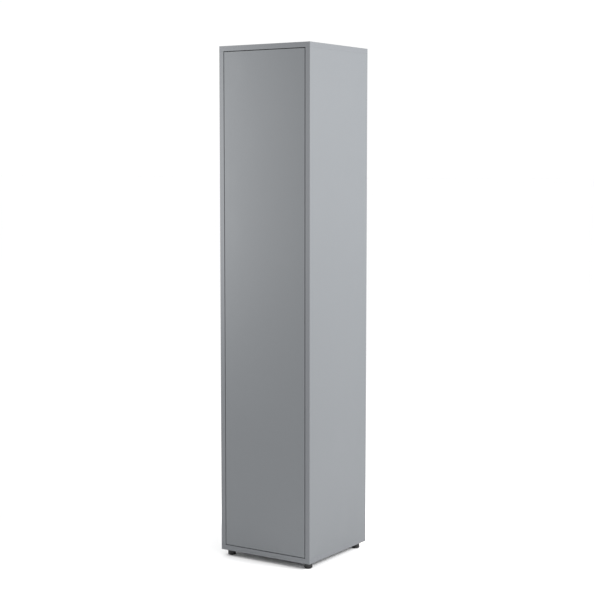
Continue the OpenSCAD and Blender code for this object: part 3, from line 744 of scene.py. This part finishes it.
def wood_screw(head_radius, head_height, shank_radius, length):
    """A screw along Z with the top of its head at z = 0."""
    under = -head_height
    tip = -length
    shares = [step / SCREW_POINT_STEPS for step in range(SCREW_POINT_STEPS)]
    point = [(shank_radius * (SCREW_POINT + (1 - SCREW_POINT) * share), tip + 2 * shank_radius * share)
             for share in shares]
    turns = [step * pi / 2 / DOME_STEPS for step in range(DOME_STEPS)]
    dome = [(head_radius * cos(turned), under + head_height * (HEAD_EDGE + (1 - HEAD_EDGE) * sin(turned)))
            for turned in turns]
    body = turn(
        point
        + stretch_of(shank_radius, tip + 2 * shank_radius, under - SCREW_NECK, SCREW_PITCH / THREAD_STEPS)
        + [(shank_radius * NECK_WAIST, under), (head_radius * HEAD_UNDERCUT, under)] + dome,
        SCREW_SIDES, thread(SCREW_PITCH, SCREW_CUT, tip + SCREW_TIP_PLAIN, under - SCREW_NECK))
    return crossed_recess(body, head_radius, head_height * RECESS_DEPTH)


def screw_set(name, node, heading, head_height, shank_radius):
    low, high = solids_of(node)[0]
    out = heading((low + high) / 2)
    along = max(range(3), key=lambda axis: abs(out[axis]))
    length = high[along] - low[along]
    head_radius = (high[along - 1] - low[along - 1]) / 2
    template = wood_screw(head_radius, head_height, shank_radius, length)
    fit(piece_of(name, place_copies(template, node, heading), ZINC_PLATE), "screw_steel", node)


screw_set("bracket_screw_set", "bracket_screws", lambda middle: (0, 0, -1), 0.0020, 0.0015)
screw_set("cup_screw_set", "hinge_cup_screws", lambda middle: (0, 1, 0), 0.0016, 0.00175)
screw_set("plate_screw_set", "hinge_plate_screws", lambda middle: (1, 0, 0), 0.0018, 0.0022)
screw_set("arm_screw_set", "hinge_arm_screws", lambda middle: (1, 0, 0), 0.0014, 0.0020)
screw_set("latch_screw_set", "latch_screws", lambda middle: (-1, 0, 0), 0.0018, 0.0015)
screw_set("strike_screw_set", "strike_screws", lambda middle: (0, 1, 0), 0.0010, 0.0015)


# ---- Wall brackets ----
# Two steel angles under the top board, bent from 2.5 mm strip and zinc plated. A bolt through
# each one and through the back fixes the locker to the wall, so that it can't tip.

BEND_OUTSIDE = 0.0030
STRIP_CORNER = 0.0004

angle_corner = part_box("wall_brackets")[1]
brackets = cad_shape("wall_brackets")
outer_bend = [edge for edge in brackets.edges
              if on_plane(1, angle_corner.y)(edge) and on_plane(2, angle_corner.z)(edge)]
bmesh.ops.bevel(brackets, geom=outer_bend, offset=BEND_OUTSIDE, segments=6, profile=0.5, affect="EDGES")
ease(brackets, STRIP_CORNER, steps=2)
fit(piece_of("wall_angle_set", brackets, ZINC_PLATE), "plated_steel", "wall_brackets")


# ---- Feet ----
# Black moulded feet of 34 mm. Each has a ribbed sleeve with a spigot pressed into the bottom
# board, and a pad on a threaded stem that turns in the sleeve to level the locker.

FOOT_SIDES = 96
FOOT_RIBS = 24
RIB_DEPTH = 0.0006
PAD_ROUND = 0.0008
PAD_TAPER = 0.0035
FOOT_SEAM = 0.0005
STEM_RADIUS = 0.010
STEM_PITCH = 0.0030
STEM_CUT = 0.0007
STEM_LEAD = 0.0002
STEM_STEPS = 8
SLEEVE_ROUND = 0.0012
SLEEVE_COLLAR = 0.0028
SLEEVE_STEP = 0.0002
BORE_SLACK = 0.00008
BORE_LEN = 0.0125
SPIGOT_RADIUS = 0.005
SPIGOT_LEN = 0.012
SPIGOT_BARB = 0.0004
SPIGOT_BARBS = 4
BARB_STEP = 0.0024

MOULDED_BLACK = (0.010, 0.010, 0.011, 1)
MOULDED_DUSTY = (0.024, 0.023, 0.022, 1)


def black_moulding():
    finish, place = new_finish("black_moulding")
    spark = place.clouds(0.0005, detail=2)
    dust = place.clouds(0.012, detail=5).band(0.45, 0.8)
    return complete(finish, place, {
        "Base Color": (dust * 0.6 + spark * 0.15).mix(MOULDED_BLACK, MOULDED_DUSTY),
        "Roughness": 0.44 + spark * 0.12 + dust * 0.12,
        "Specular IOR Level": 0.45,
    }, spark, 0.00006)


BLACK_MOULDING = black_moulding()


def ribbed(low, high):
    """Rounded ribs round a moulding, between two heights."""
    def wobble(angle, radius, height):
        if not low < height < high:
            return 0
        return -RIB_DEPTH * (0.5 - 0.5 * cos(FOOT_RIBS * angle)) ** 2
    return wobble


def foot(name, node):
    """A pad that narrows to the floor, with a threaded stem above it."""
    low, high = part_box(node)
    radius = (high.x - low.x) / 2
    sole = radius - PAD_TAPER
    pad_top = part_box("foot_sockets")[0].z - FOOT_SEAM
    stem_top = high.z
    outline = [(sole - PAD_ROUND, 0), (sole - PAD_ROUND * 0.3, PAD_ROUND * 0.3),
               (sole + PAD_ROUND * 0.5, PAD_ROUND),
               (radius - PAD_ROUND * 0.5, PAD_TAPER - PAD_ROUND * 0.4),
               (radius, PAD_TAPER + PAD_ROUND * 0.4), (radius, PAD_TAPER + PAD_ROUND * 0.5),
               (radius, pad_top - PAD_ROUND), (radius - PAD_ROUND * 0.3, pad_top - PAD_ROUND * 0.3),
               (radius - PAD_ROUND, pad_top), (STEM_RADIUS - STEM_LEAD, pad_top)]
    outline += stretch_of(STEM_RADIUS, pad_top + 2 * STEM_LEAD, stem_top - 5 * STEM_LEAD,
                          STEM_PITCH / STEM_STEPS)
    outline += [(STEM_RADIUS - 5 * STEM_LEAD, stem_top)]
    ribs = ribbed(PAD_TAPER + PAD_ROUND * 0.45, pad_top - PAD_ROUND * 0.5)
    screw = thread(STEM_PITCH, STEM_CUT, pad_top + 3 * STEM_LEAD, stem_top - 6 * STEM_LEAD)
    shape = turn(outline, FOOT_SIDES, lambda angle, reach, height:
                 ribs(angle, reach, height) + screw(angle, reach, height))
    middle = (low + high) / 2
    bmesh.ops.translate(shape, vec=(middle.x, middle.y, low.z), verts=shape.verts)
    fit(piece_of(name, shape, BLACK_MOULDING), "black_plastic", node)


for corner in ("front_left", "front_right", "rear_left", "rear_right"):
    foot(f"levelling_{corner}", f"foot_{corner}")


def sleeve():
    """A ribbed sleeve with a barbed spigot, its top at z = 0, and a bore up from below."""
    low, high = solids_of("foot_sockets")[0]
    radius = (high.x - low.x) / 2
    bottom = low.z - high.z
    shoulder = -SPIGOT_LEN
    bore = STEM_RADIUS + BORE_SLACK
    outline = [(bore, bottom + BORE_LEN), (bore, bottom + SLEEVE_ROUND / 2),
               (bore + SLEEVE_ROUND / 2, bottom), (radius - SLEEVE_ROUND, bottom),
               (radius, bottom + SLEEVE_ROUND),
               (radius, shoulder - SLEEVE_COLLAR), (radius, shoulder - SLEEVE_COLLAR + SLEEVE_STEP),
               (radius, shoulder - SLEEVE_ROUND / 3), (radius - SLEEVE_ROUND / 3, shoulder),
               (SPIGOT_RADIUS, shoulder)]
    for barb in range(SPIGOT_BARBS):
        start = shoulder + BARB_STEP / 2 + barb * BARB_STEP
        outline += [(SPIGOT_RADIUS - SPIGOT_BARB, start), (SPIGOT_RADIUS, start + BARB_STEP / 8),
                    (SPIGOT_RADIUS - SPIGOT_BARB, start + BARB_STEP * 7 / 8)]
    outline += [(SPIGOT_RADIUS - SLEEVE_ROUND, 0)]
    ribs = ribbed(bottom + SLEEVE_ROUND * 0.9, shoulder - SLEEVE_COLLAR + SLEEVE_STEP / 2)
    return turn(outline, FOOT_SIDES, ribs)


sleeves = place_copies(sleeve(), "foot_sockets", lambda middle: (0, 0, 1))
fit(piece_of("foot_sleeve_set", sleeves, BLACK_MOULDING), "black_plastic", "foot_sockets")


# ---- Door ----
# One full-height door of 18 mm grey board, banded on all four edges, with 35 mm cups bored
# into its back along the left edge. It closes flush with the frame, 3 mm clear all round.

cut_board("door_board", "door_panel", lambda edge: False)
door_low, door_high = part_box("door_edge_bands")
band_strips("door_bands", "door_edge_bands",
            [(0, door_low.x), (0, door_high.x), (2, door_low.z), (2, door_high.z)])


# ---- Hinges ----
# Four concealed hinges, pressed in steel and nickel plated: a cup in the door, a cranked arm
# on a plate, and two links between them on riveted pins. They swing the door through 95 degrees.

CUP_EASE = 0.0004
ARM_EASE = 0.0003
LINK_EASE = 0.0002
PLATE_EASE = 0.0005
HINGE_PIN_EASE = 0.00015

NICKEL_BRIGHT = (0.72, 0.69, 0.64, 1)
NICKEL_DULL = (0.52, 0.50, 0.47, 1)


def nickel_plate():
    finish, place = new_finish("nickel_plate")
    rolled = place.clouds(0.0003, (1, 14, 1), 3)
    haze = place.clouds(0.009, detail=4)
    return complete(finish, place, {
        "Base Color": (rolled * 0.35 + haze * 0.65).mix(NICKEL_DULL, NICKEL_BRIGHT),
        "Metallic": 0.97 + haze * 0.03,
        "Roughness": 0.20 + rolled * 0.12 + haze * 0.08,
    }, rolled, 0.00002)


NICKEL_PLATE = nickel_plate()


def pressing(name, node, radius):
    """A pressed or turned hinge part with its edges broken."""
    shape = cad_shape(node)
    ease(shape, radius, steps=2)
    fit(piece_of(name, shape, NICKEL_PLATE), "hinge_steel", node)


for number in range(1, 5):
    pressing(f"cup_{number}", f"hinge_cup_{number}", CUP_EASE)
    pressing(f"arm_{number}", f"hinge_arm_{number}", ARM_EASE)
    pressing(f"outer_link_{number}", f"hinge_front_link_{number}", LINK_EASE)
    pressing(f"inner_link_{number}", f"hinge_rear_link_{number}", LINK_EASE)
pressing("plate_set", "hinge_plates", PLATE_EASE)
pressing("arm_rivets", "hinge_arm_pins", HINGE_PIN_EASE)
pressing("cup_rivets", "hinge_cup_pins", HINGE_PIN_EASE)


# ---- Push latch ----
# A moulded housing on the right side holds a sprung plunger with a magnet in its tip, which
# holds a steel strike on the door. A push on the door lets the spring throw it open.

HOUSING_EASE = 0.00015
CASE_CORNER = 0.0030
CASE_LONG = 0.030
CASE_BASE = 0.0035
CASE_BORDER = 0.0022
CASE_SINK = 0.0004
PLUNGER_EASE = 0.0004
MAGNET_EASE = 0.0003
STRIKE_EASE = 0.0003
SPRING_TURNS = 8
SPRING_DEAD_TURNS = 1
SPRING_STEPS = 20
SPRING_SIDES = 10
SPRING_WIRE = 0.0004
CLOSED_PITCH = 2.1 * SPRING_WIRE

HOUSING_LIGHT = (0.30, 0.31, 0.33, 1)
HOUSING_DARK = (0.26, 0.27, 0.29, 1)
PLUNGER_LIGHT = (0.58, 0.59, 0.61, 1)
PLUNGER_DARK = (0.50, 0.51, 0.53, 1)
MAGNET_LIGHT = (0.36, 0.36, 0.37, 1)
MAGNET_DARK = (0.20, 0.20, 0.21, 1)
WIRE_LIGHT = (0.60, 0.60, 0.61, 1)
WIRE_DARK = (0.38, 0.37, 0.36, 1)


def moulding(name, dark, light, roughness):
    finish, place = new_finish(name)
    spark = place.clouds(0.0006, detail=2)
    flow = place.clouds(0.015, (1, 3, 1), 3)
    return complete(finish, place, {
        "Base Color": (spark * 0.4 + flow * 0.6).mix(dark, light),
        "Roughness": roughness + spark * 0.10,
        "Specular IOR Level": 0.5,
    }, spark, 0.00005)


def bare_metal(name, dark, light, roughness, grain):
    finish, place = new_finish(name)
    drawn = place.clouds(grain, detail=4)
    stain = place.clouds(grain * 8, detail=3)
    return complete(finish, place, {
        "Base Color": (drawn * 0.5 + stain * 0.5).mix(dark, light),
        "Metallic": 0.9 + drawn * 0.1,
        "Roughness": roughness + stain * 0.15,
    }, drawn, 0.00003)


def eased(name, node, radius, slot, finish):
    shape = cad_shape(node)
    ease(shape, radius)
    fit(piece_of(name, shape, finish), slot, node)


def latch_case():
    """The housing: long corners rounded, and a shallow panel sunk into each free side."""
    shape = cad_shape("latch_housing")
    low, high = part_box("latch_housing")
    long_corners = [edge for edge in shape.edges
                    if edge.is_manifold and edge.calc_face_angle() > SHARP_TURN
                    and edge.calc_length() > CASE_LONG and on_plane(0, low.x)(edge)]
    bmesh.ops.bevel(shape, geom=long_corners, offset=CASE_CORNER, segments=6, profile=0.5, affect="EDGES")
    shape.normal_update()
    sides = [face for face in shape.faces
             if face.calc_area() > CASE_LONG * CASE_LONG / 4
             and max(abs(face.normal.z), -face.normal.x) > 0.9
             and face.calc_center_median().x < high.x - CASE_BASE]
    bmesh.ops.inset_individual(shape, faces=sides, thickness=CASE_BORDER, depth=0)
    bmesh.ops.inset_individual(shape, faces=sides, thickness=CASE_SINK, depth=-CASE_SINK)
    ease(shape, HOUSING_EASE, steps=2)
    fit(piece_of("latch_case", shape, moulding("housing_plastic", HOUSING_DARK, HOUSING_LIGHT, 0.42)),
        "latch_plastic", "latch_housing")


latch_case()
eased("latch_rod", "latch_plunger", PLUNGER_EASE, "plunger_plastic",
      moulding("plunger_plastic", PLUNGER_DARK, PLUNGER_LIGHT, 0.34))
eased("latch_tip", "latch_magnet", MAGNET_EASE, "magnet",
      bare_metal("magnet_metal", MAGNET_DARK, MAGNET_LIGHT, 0.28, 0.0008))
eased("strike", "strike_plate", STRIKE_EASE, "plated_steel", ZINC_PLATE)


def coil_spring():
    """Drawn wire coiled along Y, with its end turns closed up."""
    low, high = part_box("latch_spring")
    middle = (low + high) / 2
    radius = (high.x - low.x) / 2 - SPRING_WIRE
    start = low.y + SPRING_WIRE
    reach = high.y - low.y - 2 * SPRING_WIRE
    closed = SPRING_DEAD_TURNS * CLOSED_PITCH
    open_turns = SPRING_TURNS - 2 * SPRING_DEAD_TURNS
    shape = bmesh.new()
    rings = []
    for step in range(SPRING_TURNS * SPRING_STEPS + 1):
        turned = step / SPRING_STEPS
        if turned < SPRING_DEAD_TURNS:
            rise = closed * turned / SPRING_DEAD_TURNS
        elif turned > SPRING_TURNS - SPRING_DEAD_TURNS:
            rise = reach - closed * (SPRING_TURNS - turned) / SPRING_DEAD_TURNS
        else:
            rise = closed + (reach - 2 * closed) * (turned - SPRING_DEAD_TURNS) / open_turns
        angle = tau * turned
        rings.append([])
        for side in range(SPRING_SIDES):
            round_wire = tau * side / SPRING_SIDES
            out = radius + SPRING_WIRE * cos(round_wire)
            rings[-1].append(shape.verts.new((
                middle.x + out * cos(angle), start + rise + SPRING_WIRE * sin(round_wire),
                middle.z + out * sin(angle))))
    for lower, upper in zip(rings, rings[1:]):
        for side in range(SPRING_SIDES):
            shape.faces.new((lower[side - 1], lower[side], upper[side], upper[side - 1]))
    shape.faces.new(rings[0][::-1])
    shape.faces.new(rings[-1])
    return shape, low, high


spring_shape, spring_low, spring_high = coil_spring()
spring = piece_of("latch_coil", spring_shape,
                  bare_metal("spring_wire", WIRE_DARK, WIRE_LIGHT, 0.25, 0.0004))
spring.modifiers.clear()
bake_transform(spring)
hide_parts("latch_spring")


# ---- Floor ----
# A plain pale floor, wide enough to meet the white of the room.

FLOOR_REACH = 150
FLOOR_WHITE = (0.985, 0.985, 0.985, 1)
FLOOR_SOFT = (0.980, 0.980, 0.980, 1)

floor_shape = bmesh.new()
bmesh.ops.create_grid(floor_shape, x_segments=4, y_segments=4, size=FLOOR_REACH)
floor_finish, floor_place = new_finish("pale_floor")
floor_cloud = floor_place.clouds(0.8, detail=3)
complete(floor_finish, floor_place, {
    "Base Color": floor_cloud.mix(FLOOR_SOFT, FLOOR_WHITE),
    "Roughness": 0.75 + floor_cloud * 0.1,
    "Specular IOR Level": 0.2,
}, floor_cloud, 0.0001)
floor = piece_of("floor", floor_shape, floor_finish)
floor.modifiers.clear()
